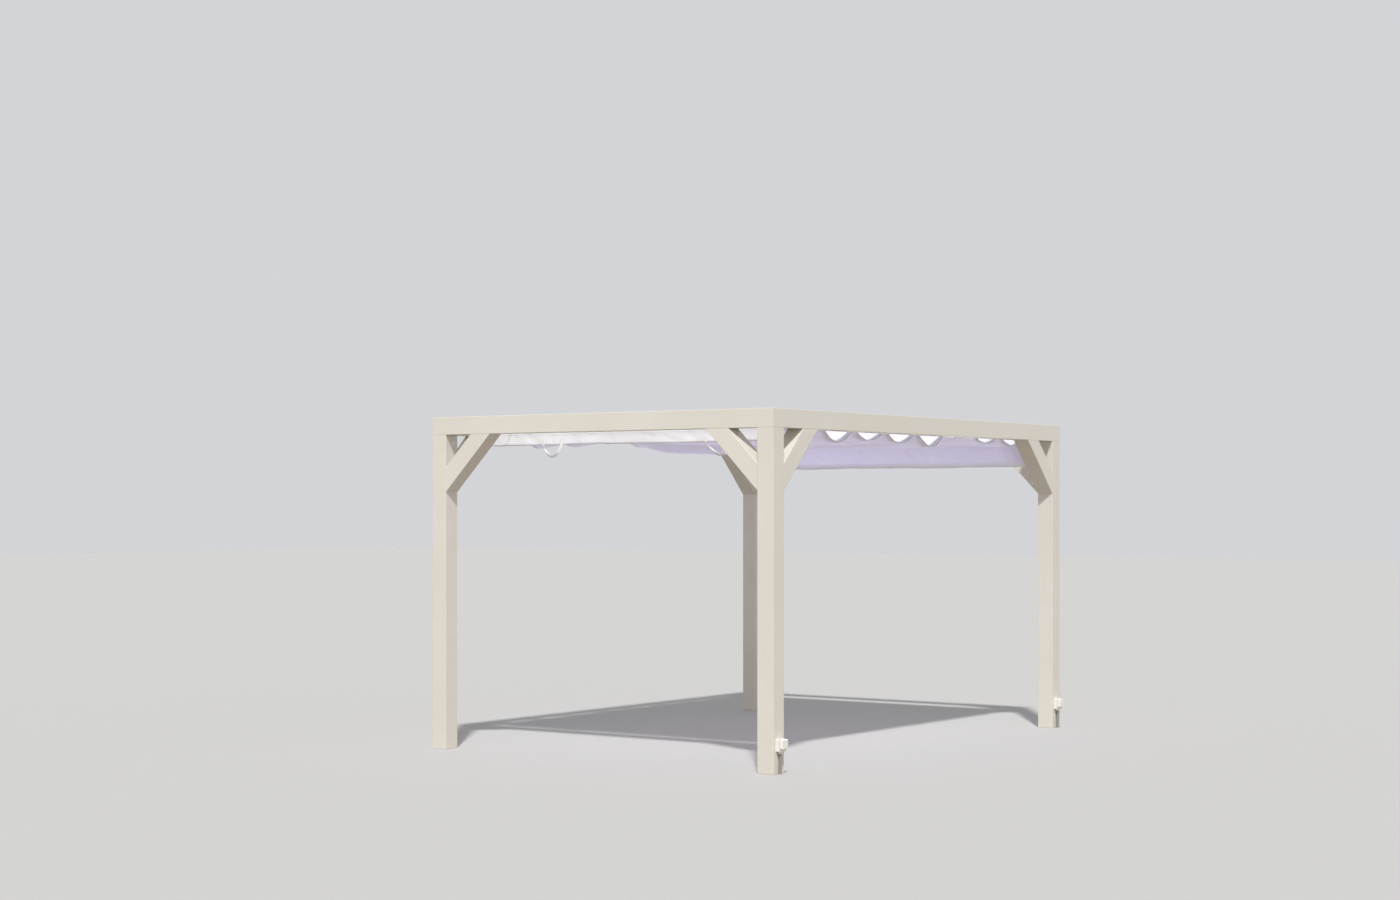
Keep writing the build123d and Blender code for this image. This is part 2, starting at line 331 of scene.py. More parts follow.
# %% Paint the sticks
EIGHTH = QUARTER / 2
upright_paint = painted_timber("painted posts", (0, QUARTER, 0))
long_paint = painted_timber("painted long beams", (0, 0, 0))
short_paint = painted_timber("painted short beams", (0, 0, -QUARTER))
brace_paints = {
    ("long", 1): painted_timber("painted braces rising right", (0, EIGHTH, 0)),
    ("long", -1): painted_timber("painted braces rising left", (0, -EIGHTH, 0)),
    ("short", 1): painted_timber("painted braces rising back", (-EIGHTH, 0, -QUARTER)),
    ("short", -1): painted_timber("painted braces rising front", (EIGHTH, 0, -QUARTER)),
}

for row, back in (("front", -1), ("back", 1)):
    cover(nodes[f"{row}_beam"], long_paint)
    for side, right in (("left", -1), ("right", 1)):
        cover(nodes[f"{row}_{side}_post"], upright_paint)
        cover(nodes[f"{row}_{side}_long_brace"], brace_paints["long", -right])
        cover(nodes[f"{row}_{side}_short_brace"], brace_paints["short", -back])
for side in ("left", "right"):
    cover(nodes[f"{side}_beam"], short_paint)
print("painted", sum(n.endswith(("_post", "_beam", "_brace")) for n in nodes), "sticks")

# %% [markdown]
# ## The canopy cloth
# One strip of woven outdoor cloth runs from the near hem, over nine battens and
# down in a wave between each two, to the hem of the far flap. It could be draped
# by a cloth simulation, but taut cloth on straight bars is a row of plain curves,
# so its shape is worked out as a grid: across the strip the points follow the
# short side, and along it they hang from batten to batten. A wave hangs nearly as
# a parabola, a little sharper or flatter at the edges, as the hem pulls it. The
# cloth leaves each batten where its own slope touches the round bar.


# %% Battens as found in the frame
def middle(node_name):
    """The middle of a node's box, as three numbers."""
    return [(low + high) / 2 for low, high in zip(*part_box(node_name))]


BATTEN_RADIUS = 0.009
BATTEN_Z = 2.246
CLOTH = 0.0011
PLAY = 0.0004  # room between cloth and bar
WRAP = BATTEN_RADIUS + PLAY + CLOTH / 2
HALF_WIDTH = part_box("canopy")[1].y
WIRE_Y, WIRE_Z = middle("back_wire")[1:]
batten_names = [f"batten_{i}" for i in range(1, 10)]
batten_xs = [middle(name)[0] for name in batten_names]
print("battens at", [round(x, 3) for x in batten_xs], "half width", round(HALF_WIDTH, 3))

# %% [markdown]
# Every wave hangs in its own way. These are the depths of the eight waves at
# five places across the strip, from the front edge to the back edge, and how
# pointed or shifted each scallop is at the front edge. Between those places
# the values run smoothly.

# %% Depths of the waves
ACROSS = (-HALF_WIDTH, -0.4, 0.5, 1.0, HALF_WIDTH)
DEPTHS = np.array((
    (46, 50, 50, 55, 86),
    (94, 96, 66, 60, 101),
    (70, 78, 56, 52, 76),
    (79, 82, 60, 42, 45),
    (95, 108, 128, 115, 62),
    (20, 45, 68, 68, 45),
    (56, 65, 70, 64, 50),
    (64, 64, 60, 56, 44),
)) / 1000
EDGE_POWER = (2.0, 1.9, 2.1, 2.4, 1.85, 2.0, 1.9, 2.0)
EDGE_SHIFT = (0.0, 0.0, 0.07, 0.0, -0.1, 0.0, -0.1, -0.08)
EDGE_START = 0.55
WAVES = len(DEPTHS)


def smooth_between(values, y):
    """Values at the places across the strip, joined by a smooth line."""
    steps = np.interp(y, ACROSS, range(len(ACROSS)))
    low = np.clip(np.floor(steps).astype(int), 0, len(values) - 2)
    part = steps - low
    part = part * part * (3 - 2 * part)
    return values[low] * (1 - part) + values[low + 1] * part


def wave_values(i, y):
    """Depth, power and shift of a wave at each y, as arrays."""
    depth = smooth_between(DEPTHS[i], y)
    depth = depth + 0.0025 * np.sin(7.1 * y + 2.3 * i) + 0.0015 * np.sin(17 * y + 1.1 * i)
    edge = np.clip((-y - EDGE_START) / (HALF_WIDTH - EDGE_START), 0, 1) ** 1.5
    return depth, 2.0 + (EDGE_POWER[i] - 2.0) * edge, EDGE_SHIFT[i] * edge


# %% [markdown]
# The curve of a wave is drawn as if it met the next one in a point, a little above
# each bar. How far above depends on the slope there, and the slope on how far
# above, so both are found together in a few rounds.

# %% Curve of a wave
ROUNDS = 6


def wave_ends(i, y):
    """For the left and the right end, how far the point is above the bar, and the slope."""
    depth, power, shift = wave_values(i, y)
    half = (batten_xs[i + 1] - batten_xs[i]) / 2
    ends = []
    for sign in (-1, 1):
        slope = power * depth / half
        for _ in range(ROUNDS):
            rise = WRAP * np.sqrt(1 + slope**2)
            slope = power * (depth + rise) / half * (1 - 2 * shift * sign)
        ends.append((rise, slope))
    return ends


def wave_line(i, y, part):
    """Points of a wave between its two tangent points, part going from 0 to 1."""
    depth, power, shift = wave_values(i, y)
    (left_rise, left_slope), (right_rise, right_slope) = wave_ends(i, y)
    centre = (batten_xs[i] + batten_xs[i + 1]) / 2
    half = (batten_xs[i + 1] - batten_xs[i]) / 2
    start = batten_xs[i] + WRAP * np.sin(np.arctan(left_slope))
    end = batten_xs[i + 1] - WRAP * np.sin(np.arctan(right_slope))
    x = start + (end - start) * part
    t = (x - centre) / half
    bent = t + shift * (1 - t**2)
    rise = np.where(bent < 0, left_rise, right_rise)
    z = BATTEN_Z - depth + (depth + rise) * np.abs(bent) ** power
    return x, z


for i in range(WAVES):
    heights = [wave_line(i, np.array([0.0]), part)[1][0] for part in np.linspace(0, 1, 41)]
    print("wave", i + 1, "lowest", round(float(min(heights)), 3))

# %% [markdown]
# The grid is laid out column by column along the strip: hem, flap, over the
# first batten, wave, over the next batten, and so on. Columns stand closer
# where the cloth bends or is sewn, and rows stand closer at the side hems and
# beside the notches that let the runners out of the pockets.

# %% Rows
HEM = 0.025
HEM_STEP = 0.001
SIDE_HEM = 0.020
NOTCH = 0.017
ROW_STEP = 0.024


def spaced(start, end, step):
    """Even places from start up to end, about a step apart, without the end."""
    count = max(1, round(abs(end - start) / step))
    return list(np.linspace(start, end, count + 1))[:-1]


edges = [-HALF_WIDTH, -HALF_WIDTH + SIDE_HEM - HEM_STEP, -HALF_WIDTH + SIDE_HEM]
edges += [s * WIRE_Y + d for s in (-1, 1) for d in (-NOTCH, NOTCH)]
edges += [HALF_WIDTH - SIDE_HEM, HALF_WIDTH - SIDE_HEM + HEM_STEP, HALF_WIDTH]
rows = []
for start, end in zip(edges, edges[1:]):
    rows += spaced(start, end, ROW_STEP)
rows = np.array(rows + [edges[-1]])
print("rows", len(rows))

# %% [markdown]
# The flaps hang free, so they carry short soft folds. Each fold is a smooth hump
# or hollow at a random place, longer than it is wide, and a fixed seed makes the
# same folds each time.

# %% Flaps
NEAR_FOLDS = {"lean": 1.1, "count": 26, "height": 0.0030}
FAR_FOLDS = {"lean": 0.75, "count": 40, "height": 0.0050}


def ripple(y, seed):
    """A gentle wander from -1 to 1 across the strip."""
    waves = ((0.5, 5.1, 1.7), (0.3, 11.3, 2.9), (0.2, 23.7, 4.1))
    return sum(size * np.sin(pace * y + start * seed) for size, pace, start in waves)


def soft_folds(y, down, tall, seed, lean, count, height):
    """Ridges and furrows in a flap of that height, each leaning by about that angle."""
    dice = np.random.default_rng(seed)
    total = np.zeros_like(y)
    for _ in range(count):
        fold_y, fold_down = dice.uniform(-HALF_WIDTH, HALF_WIDTH), dice.uniform(0.2, 1.0) * tall
        angle = lean + dice.normal(0, 0.25)
        across = (y - fold_y) * cos(angle) + (down - fold_down) * sin(angle)
        lengthwise = (down - fold_down) * cos(angle) - (y - fold_y) * sin(angle)
        width, length = dice.uniform(0.010, 0.024), dice.uniform(0.04, 0.12)
        hump = np.exp(-((across / width) ** 2) - (lengthwise / length) ** 2)
        total += dice.choice((-1, 1)) * height * hump
    return total


def flap_line(batten_x, outward, hem_z, part, seed):
    """Points of a flap, part going from 0 at the batten to 1 at the hem."""
    hem_height = hem_z + 0.004 * ripple(rows, seed + 3)
    z = BATTEN_Z + (hem_height - BATTEN_Z) * part
    fall = BATTEN_Z - hem_z
    swing = fall * 0.05 * part**1.3 * ripple(rows + 0.35 * fall * part, seed)
    folds = soft_folds(rows, fall * part, fall, 7 * seed, **(NEAR_FOLDS if outward < 0 else FAR_FOLDS))
    swing = swing + min(1.0, 4 * part) * folds
    near_end = np.exp(-(HALF_WIDTH - np.abs(rows)) / 0.07)
    swing = swing + 0.003 * near_end * np.sin(8 * part + 40 * np.abs(rows)) * np.sin(pi * part)
    return batten_x + outward * (WRAP + np.abs(swing) * 0.2) + swing, z


# %% [markdown]
# The columns run from the near hem to the far one. Each keeps its points and two
# marks, whether it lies in a hem and whether it carries a seam.

# %% Columns
NEAR_FALL, FAR_FALL = 0.098, 0.222
NEAR_SEAM, FAR_SEAM = 0.224, 0.099
SEAM_PLACE = 0.045
OVER_STEPS = 8
columns = []


def hem_parts(fall):
    """Where a hem starts and a millimetre further, as parts of the way down a flap."""
    return [1 - HEM / fall, 1 - (HEM - HEM_STEP) / fall]


def add_flap(batten_x, outward, fall, parts, seam_part, seed):
    """Adds the columns of a flap, with marks for its hem and its seam."""
    for part in parts:
        x, z = flap_line(batten_x, outward, BATTEN_Z - fall, part, seed)
        columns.append((x, z, part >= hem_parts(fall)[0], part == seam_part))


near_parts = [1, 0.87, *hem_parts(NEAR_FALL)[::-1], 0.62, 0.5, 0.36, NEAR_SEAM, 0.12]
far_start, far_next = hem_parts(FAR_FALL)
far_parts = [0.05, FAR_SEAM] + spaced(0.16, far_start, 0.06) + [far_start, far_next, 0.94, 1]
wave_parts = [0.02, SEAM_PLACE] + spaced(0.09, 0.91, 0.037) + [0.91, 1 - SEAM_PLACE, 0.98]

add_flap(batten_xs[0], -1, NEAR_FALL, near_parts, NEAR_SEAM, seed=1)
for i, batten_x in enumerate(batten_xs):
    left = np.arctan(wave_ends(i - 1, rows)[1][1]) if i else np.full(len(rows), QUARTER)
    right = np.arctan(wave_ends(i, rows)[0][1]) if i < WAVES else np.full(len(rows), QUARTER)
    for step in range(OVER_STEPS + 1):
        angle = -left + (left + right) * step / OVER_STEPS
        columns.append((batten_x + WRAP * np.sin(angle), BATTEN_Z + WRAP * np.cos(angle), False, False))
    for part in wave_parts if i < WAVES else ():
        columns.append((*wave_line(i, rows, part), False, part in (SEAM_PLACE, 1 - SEAM_PLACE)))
add_flap(batten_xs[-1], 1, FAR_FALL, far_parts, FAR_SEAM, seed=5)
print("cloth grid", len(columns), "by", len(rows))

# %% [markdown]
# Real cloth is never quite smooth. Small creases run off the side hems, and
# shallow folds cross the waves. They move each point along the cloth's own normal
# and fade out near the seams, where the stitches hold the cloth to the bar. The
# length along the cloth is measured before them, so that it is the cut length.

# %% Points of the cloth, and small creases
cloth_x = np.array([c[0] for c in columns])
cloth_z = np.array([c[1] for c in columns])
cloth_y = np.broadcast_to(rows, cloth_x.shape).copy()
steps = np.hypot(np.diff(cloth_x, axis=0), np.diff(cloth_z, axis=0))
along = np.vstack([np.zeros(len(rows)), np.cumsum(steps, axis=0)])
seam_columns = np.array([k for k, c in enumerate(columns) if c[3]])
seam_gap = np.min(np.abs(along[:, None, :] - along[None, seam_columns, :]), axis=1)

tangent_x, tangent_z = np.gradient(cloth_x, axis=0), np.gradient(cloth_z, axis=0)
size = np.hypot(tangent_x, tangent_z)
normal_x, normal_z = -tangent_z / size, tangent_x / size
free = np.clip((seam_gap - 0.004) / 0.07, 0, 1)
folds = np.sin(31 * cloth_y + 3 * np.sin(4.1 * along) + 1.3 * np.sin(9 * cloth_y))
fine = np.sin(63 * cloth_y + 14 * along + 2 * np.sin(6 * along)) * np.sin(17 * along + 5 * cloth_y)
edge_pull = np.exp(-(HALF_WIDTH - np.abs(cloth_y)) / 0.16) * np.sin(60 * along + 26 * np.abs(cloth_y))
crease = free * (0.0011 * folds + 0.0007 * fine + 0.0018 * edge_pull)
cloth_x += normal_x * crease
cloth_z += normal_z * crease

# %% [markdown]
# A sheet can't be pulled from a primitive without losing these curves, so the
# grid is written as a mesh, one quad between each four points. The length along
# the cloth is kept as a UV map in metres, and the distance from the nearest seam
# and the number of layers as attributes, for the weave, the stitches and the
# light that comes through. Solidify then gives the cloth its two sides, and a
# vertex group makes the hems, which are folded over, thicker.


# %% Helpers for sheets
def grid_mesh(name, x, y, z, keep=None):
    """A mesh of quads on a grid of points, with the faces where keep is true."""
    tall, wide = x.shape
    points = np.stack([x, y, z], axis=-1).reshape(-1, 3)
    number = np.arange(tall * wide).reshape(tall, wide)
    quads = np.stack([number[:-1, :-1], number[1:, :-1], number[1:, 1:], number[:-1, 1:]], axis=-1)
    quads = quads.reshape(-1, 4) if keep is None else quads[keep]
    mesh = bpy.data.meshes.new(name)
    mesh.from_pydata(points.tolist(), [], quads.tolist())
    return put_in_scene(name, mesh)


def keep_map(piece, along, across):
    """Keeps the place of each point on the flat cloth as a UV map, in metres."""
    corners = np.zeros(len(piece.data.loops), int)
    piece.data.loops.foreach_get("vertex_index", corners)
    places = np.stack([np.ravel(along)[corners], np.ravel(across)[corners]], axis=-1)
    piece.data.uv_layers.new(name="cloth").data.foreach_set("uv", places.ravel())


def keep_numbers(piece, name, numbers):
    """Keeps a number at each point as an attribute."""
    attribute = piece.data.attributes.new(name, "FLOAT", "POINT")
    attribute.data.foreach_set("value", np.ravel(numbers))


def select_only(active, *others):
    """Selects some pieces and nothing else, and makes the first one active."""
    bpy.ops.object.select_all(action="DESELECT")
    for piece in (active, *others):
        piece.select_set(True)
    bpy.context.view_layer.objects.active = active


def apply_modifier(piece, kind, **settings):
    """Adds a modifier, sets it and applies it."""
    select_only(piece)
    modifier = piece.modifiers.new(kind.lower(), kind)
    for name, value in settings.items():
        setattr(modifier, name, value)
    bpy.ops.object.modifier_apply(modifier=modifier.name)


def thicken(piece, thickness, **settings):
    """Gives a sheet two smooth sides, half its thickness off each way."""
    apply_modifier(piece, "SOLIDIFY", thickness=thickness, offset=0, **settings)
    piece.data.polygons.foreach_set("use_smooth", [True] * len(piece.data.polygons))


# %% Cloth mesh
SINGLE = 0.42  # the thickness of single cloth, as a share of a hem's

in_notch = np.abs(np.abs((rows[:-1] + rows[1:]) / 2) - WIRE_Y) < NOTCH
high_up = cloth_z[:, 0] > BATTEN_Z - 0.001
over_bar = high_up[:-1] & high_up[1:]
canopy = grid_mesh("wave_canopy", cloth_x, cloth_y, cloth_z, ~np.outer(over_bar, in_notch))
keep_map(canopy, along, cloth_y)
keep_numbers(canopy, "from_seam", seam_gap)

hemmed = np.abs(cloth_y) > HALF_WIDTH - SIDE_HEM + HEM_STEP / 2
hemmed[[k for k, c in enumerate(columns) if c[2]]] = True
doubled = hemmed.copy()
doubled[:len(near_parts)] = True
keep_numbers(canopy, "layers", np.where(doubled, 2.0, 1.0))
thick = canopy.vertex_groups.new(name="hem")
thick.add(np.flatnonzero(hemmed).tolist(), 1.0, "REPLACE")
thick.add(np.flatnonzero(~hemmed).tolist(), SINGLE, "REPLACE")
thicken(canopy, CLOTH / SINGLE, vertex_group="hem")
print("canopy faces", len(canopy.data.polygons))

# %% [markdown]
# ## Pockets under the battens
# Each batten lies in a pocket: a narrow strip of the same cloth, sewn to the
# underside of the canopy on both sides of the bar. Pulled tight, it runs
# straight from one seam to the bar, round the bar, and straight to the other
# seam. These strips are worked out on the same rows and joined to the canopy,
# because they are sewn to it.

# %% Pocket strips
POCKET_CLOTH = 0.8 * CLOTH
BELOW = CLOTH + PLAY
PAST_SEAM = 0.35
ROUND_STEPS = 6
FROM_SEAM = [0.006, 0, 0.012] + [0.03] * (ROUND_STEPS + 1) + [0.012, 0, 0.006]


def under(column):
    """Points just below a column of the cloth."""
    return cloth_x[column] - normal_x[column] * BELOW, cloth_z[column] - normal_z[column] * BELOW


def between(first, second, part):
    """A point part of the way from one to another."""
    return first[0] + (second[0] - first[0]) * part, first[1] + (second[1] - first[1]) * part


def round_bar(batten_x, angle):
    return batten_x + WRAP * np.cos(angle), BATTEN_Z + WRAP * np.sin(angle)


def pocket_strip(batten_x, left_seam, right_seam):
    """Points of a strip from past its left seam, round under the bar, to past its right seam."""
    left, right = under(left_seam), under(right_seam)
    left_off, right_off = batten_x - left[0], right[0] - batten_x
    left_up, right_up = left[1] - BATTEN_Z, right[1] - BATTEN_Z
    start = pi + np.arccos(WRAP / np.hypot(left_off, left_up)) - np.arctan2(left_up, left_off)
    end = 2 * pi - np.arccos(WRAP / np.hypot(right_off, right_up)) + np.arctan2(right_up, right_off)
    strip = [between(left, under(left_seam - 1), PAST_SEAM), left]
    strip.append(between(left, round_bar(batten_x, start), 0.5))
    strip += [round_bar(batten_x, start + (end - start) * s / ROUND_STEPS) for s in range(ROUND_STEPS + 1)]
    strip += [between(strip[-1], right, 0.5), right, between(right, under(right_seam + 1), PAST_SEAM)]
    return np.array([s[0] for s in strip]), np.array([s[1] for s in strip])


pockets = []
for i, batten_x in enumerate(batten_xs):
    x, z = pocket_strip(batten_x, seam_columns[2 * i], seam_columns[2 * i + 1])
    y = np.broadcast_to(rows, x.shape)
    pocket = grid_mesh(f"pocket_{i + 1}", x, y, z)
    keep_numbers(pocket, "from_seam", np.repeat(FROM_SEAM, len(rows)))
    keep_numbers(pocket, "layers", np.ones(x.size))
    run = np.cumsum(np.hypot(np.diff(x, axis=0, prepend=x[:1]), np.diff(z, axis=0, prepend=z[:1])), axis=0)
    keep_map(pocket, run, y)
    thicken(pocket, POCKET_CLOTH)
    pockets.append(pocket)
select_only(canopy, *pockets)
bpy.ops.object.join()
print("canopy with pockets", len(canopy.data.polygons), "faces")

# %% [markdown]
# ## Pull straps
# Two loops of polyester webbing are sewn on the outside of the near hem. A loop
# made of flat webbing can't stay in the plane of the cloth: it leaves the hem,
# twists on the way down and twists on as it comes up, so that it has turned over
# once when it is sewn on again. So the strap is a ribbon along a curve, with its
# width turned smoothly from point to point, and then given its thickness.

# %% Pull straps
NEAR_HEM_Z = BATTEN_Z - NEAR_FALL
WEBBING_WIDTH = 0.022
WEBBING = 0.0016
SEWN = 0.045
SEWN_STEPS, LOOP_STEPS = 6, 32
TWIST_POWER = 2.4
STRAP_HALF = 0.0825
HALF_HEM = 0.0013
STRAP_PLAY = 0.0003
SIDES = (-0.5, -0.25, 0, 0.25, 0.5)


def near_flap_x(y, z):
    """Where the near flap is, at a height."""
    flap = range(len(near_parts))
    flap_x = [np.interp(y, rows, cloth_x[k]) for k in flap]
    flap_z = [np.interp(y, rows, cloth_z[k]) for k in flap]
    return float(np.interp(z, flap_z, flap_x))


def strap_path(centre, drop, power, lean):
    """Y, height and turn along a loop, from its front end to its back end."""
    path = [(centre + STRAP_HALF, NEAR_HEM_Z + SEWN * (1 - s / SEWN_STEPS), 0.0) for s in range(SEWN_STEPS)]
    for s in range(LOOP_STEPS + 1):
        u = cos(pi * s / LOOP_STEPS)
        low = NEAR_HEM_Z - drop * (1 - abs(u) ** power)
        turn = pi * (1 - (1 - s / LOOP_STEPS) ** TWIST_POWER)
        path.append((centre + STRAP_HALF * u + lean * (1 - u * u), low, turn))
    path += [(centre - STRAP_HALF, NEAR_HEM_Z + SEWN * (s + 1) / SEWN_STEPS, pi) for s in range(SEWN_STEPS)]
    return np.array(path)


def pull_strap(name, node_name, **bend):
    """A loop of webbing sewn at both ends to the near flap, where a node of the frame is."""
    path = strap_path(middle(node_name)[1], **bend)
    run = np.gradient(path[:, :2], axis=0)
    run /= np.linalg.norm(run, axis=1)[:, None]
    points = []
    for (y, z, turn), (run_y, run_z) in zip(path, run):
        for side in SIDES:
            wide = WEBBING_WIDTH * side
            place_y, place_z = y - run_z * wide * cos(turn), z + run_y * wide * cos(turn)
            base = near_flap_x(place_y, max(z, NEAR_HEM_Z)) - HALF_HEM - WEBBING / 2 - STRAP_PLAY
            points.append((base + wide * sin(turn), place_y, place_z))
    points = np.array(points).reshape(len(path), len(SIDES), 3)
    strap = grid_mesh(name, *np.moveaxis(points, -1, 0))
    length = np.concatenate([[0], np.cumsum(np.linalg.norm(np.diff(path[:, :2], axis=0), axis=1))])
    keep_map(strap, np.repeat(length, len(SIDES)), np.tile(np.array(SIDES) * WEBBING_WIDTH, len(path)))
    keep_numbers(strap, "to_end", np.repeat(np.minimum(length, length[-1] - length), len(SIDES)))
    thicken(strap, WEBBING)
    apply_modifier(strap, "SUBSURF", levels=1, render_levels=1)
    print(name, "is", round(float(length[-1]), 3), "m of webbing")
    return strap


front_strap = pull_strap("front_strap", "front_pull_strap", drop=0.088, power=1.6, lean=-0.035)
back_strap = pull_strap("back_strap", "back_pull_strap", drop=0.082, power=1.9, lean=0.0)

# %% [markdown]
# ## Conduits
# The grey conduit under each socket is a corrugated tube. It could be a smooth
# cylinder with bump, but its ribs show against the light at the edges. So one rib
# is drawn from a ring by extruding it upwards and widening or narrowing it, and
# is then repeated up the tube with an Array. Each tube is drawn with its own mesh.

# %% Conduits
tube_low, tube_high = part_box("left_conduit")
TUBE_RADIUS = (tube_high.x - tube_low.x) / 2
GROOVE = 0.0014
RIBS = round(tube_high.z / 0.0038)
RIB_PITCH = tube_high.z / RIBS
RIB_STEPS = ((0.22, 0), (0.12, 0.0009), (0.12, 0.0005), (0.30, 0), (0.12, -0.0005), (0.12, -0.0009))


def go_to(mode):
    bpy.ops.object.mode_set(mode=mode)


def grow_factor(piece, more):
    """How much the selected ring has to grow for its radius to change by that many metres."""
    go_to("OBJECT")
    ring = [v.co for v in piece.data.vertices if v.select]
    go_to("EDIT")
    radius = sum(sqrt(p.x**2 + p.y**2) for p in ring) / len(ring)
    return (radius + more) / radius


def draw_rib(tube):
    """Extrudes the ring of a tube once round the outline of a rib."""
    go_to("EDIT")
    bpy.ops.mesh.select_all(action="SELECT")
    for rise, widening in RIB_STEPS:
        bpy.ops.mesh.extrude_region_move(TRANSFORM_OT_translate={"value": (0, 0, RIB_PITCH * rise)})
        if widening:
            bpy.ops.mesh.select_mode(type="VERT")
            grown = grow_factor(tube, widening)
            bpy.ops.transform.resize(value=(grown, grown, 1), center_override=(0, 0, 0))
    go_to("OBJECT")


def conduit(name, node_name):
    """A corrugated tube standing in the box of a node, closed at both ends."""
    x, y, _ = middle(node_name)
    bpy.ops.object.select_all(action="DESELECT")
    bpy.ops.mesh.primitive_circle_add(vertices=32, radius=TUBE_RADIUS - GROOVE, location=(0, 0, 0))
    tube = bpy.context.object
    tube.name = name
    draw_rib(tube)
    apply_modifier(
        tube, "ARRAY", count=RIBS, use_relative_offset=False, use_constant_offset=True,
        constant_offset_displace=(0, 0, RIB_PITCH), use_merge_vertices=True, merge_threshold=0.0001,
    )
    go_to("EDIT")
    bpy.ops.mesh.select_all(action="DESELECT")
    bpy.ops.mesh.select_mode(type="VERT")
    bpy.ops.mesh.select_non_manifold()
    bpy.ops.mesh.edge_face_add()
    bpy.ops.mesh.select_all(action="SELECT")
    bpy.ops.mesh.normals_make_consistent(inside=False)
    bpy.ops.transform.translate(value=(x, y, 0))
    go_to("OBJECT")
    bpy.ops.object.shade_smooth_by_angle(angle=radians(40))
    return tube


left_tube = conduit("left_tube", "left_conduit")
right_tube = conduit("right_tube", "right_conduit")
print("conduit faces", len(left_tube.data.polygons), "height", round(left_tube.dimensions.z, 3))

# %% [markdown]
# ## What the new pieces stand for
# Each new piece rides on the one body of the pergola and stands for the plain
# node of the same thing, which is hidden.

# %% Which nodes the new pieces stand for
for piece, node in (
    (canopy, "canopy"),
    (front_strap, "front_pull_strap"),
    (back_strap, "back_pull_strap"),
    (left_tube, "left_conduit"),
    (right_tube, "right_conduit"),
):
    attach(piece, "root")
    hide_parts(node)
    print(piece.name, "stands for", node)

# %% [markdown]
# ## Cloth finish
# The canopy is a plain weave of about half a millimetre a yarn. It is white,
# with a breath of lilac, and thin enough to let a part of the sun through, so
# its underside glows in a lilac tone where the sun falls on the top. That takes
# two shaders, one that scatters light back and one that lets it through, mixed
# by a number. The weave and the stitches follow the cloth's own UV map, which
# is in metres, and the attribute that tells how far the nearest seam is.


# %% Helpers for woven things
def cloth_place(material):
    """The cloth's own coordinates in metres: both together, along it and across it."""
    uv_map = add(material.node_tree, "ShaderNodeUVMap")
    uv_map.uv_map = "cloth"
    parts = parts_of(uv_map.outputs["UV"])
    return uv_map.outputs["UV"], parts["X"], parts["Y"]


def kept_number(material, name):
    """The number that each point of the piece keeps under that name."""
    node = add(material.node_tree, "ShaderNodeAttribute")
    node.attribute_name = name
    return node.outputs["Fac"]


def waves_of(value, length):
    """A sine with that wavelength."""
    return calculate("SINE", times(value, 2 * pi / length))


def weave(along, across, yarn):
    """Height of a plain weave, from 0 to 1."""
    return map_range(times(waves_of(along, 2 * yarn), waves_of(across, 2 * yarn)), -1, 1)


def stitch_line(distance, place, half_width, stitch):
    """1 on the stitches of a line, 0 beside it and between two stitches."""
    on_line = map_range(distance, half_width * 0.6, half_width, 1, 0)
    return times(on_line, map_range(waves_of(place, stitch), -0.75, -0.45))


# %% Cloth finish
CLOTH_WHITE = (0.965, 0.985, 1.0)
CLOTH_GREY = (0.935, 0.95, 0.985)
CLOTH_THREAD = (0.52, 0.50, 0.56)
YARN = 0.00055
STITCH = 0.0042

canopy_cloth, cloth_shader = new_finish(
    "woven canopy cloth", Roughness=0.88, Specular_IOR_Level=0.25, Sheen_Weight=0.12, Sheen_Roughness=0.5
)
place, along_cloth, across_cloth = cloth_place(canopy_cloth)
patches = noise(here(canopy_cloth), 3.5, 3)
cloth_colour = blend(map_range(patches, 0.35, 0.65), CLOTH_WHITE, CLOTH_GREY)
from_seam = kept_number(canopy_cloth, "from_seam")
stitches = stitch_line(from_seam, calculate("ADD", along_cloth, across_cloth), 0.0009, STITCH)
cloth_colour = blend(times(stitches, 0.35), cloth_colour, CLOTH_THREAD)
feed(cloth_shader.inputs["Base Color"], cloth_colour)

crinkle = noise(turned(place, scale=(5, 14, 1)), 1.0, 5, 0.55)
pucker = noise(turned(place, scale=(40, 110, 1)), 1.0, 2)
pucker = times(pucker, map_range(from_seam, 0.0, 0.014, 1, 0))
raise_surface(cloth_shader, crinkle, 0.006)
raise_surface(cloth_shader, pucker, 0.0022)
raise_surface(cloth_shader, stitches, 0.0003)
relief = raise_surface(cloth_shader, weave(along_cloth, across_cloth, YARN), 0.00012)
print("cloth yarn", YARN * 1000, "mm")

# %% [markdown]
# The second shader, for the light that comes through, gets the same relief and
# is mixed in by about two fifths. The hems and the near flap are double and let
# less than half as much through.

# %% Light through the cloth
CLOTH_THROUGH = (0.87, 0.83, 1.0)
THROUGH_LOW, THROUGH_HIGH = 0.42, 0.46
THROUGH_DOUBLE = 0.45

canopy_net = canopy_cloth.node_tree
through = add(canopy_net, "ShaderNodeBsdfTranslucent", Color=CLOTH_THROUGH, Normal=relief)
share = map_range(patches, 0.3, 0.7, THROUGH_LOW, THROUGH_HIGH)
share = times(share, map_range(kept_number(canopy_cloth, "layers"), 1, 2, 1, THROUGH_DOUBLE))
mixed = add(
    canopy_net, "ShaderNodeMixShader", Fac=share, i1=cloth_shader.outputs["BSDF"], i2=through.outputs["BSDF"]
)
feed(canopy_net.nodes["Material Output"].inputs["Surface"], mixed.outputs["Shader"])
cover(canopy, canopy_cloth)
print("single cloth lets through", THROUGH_LOW, "to", THROUGH_HIGH)
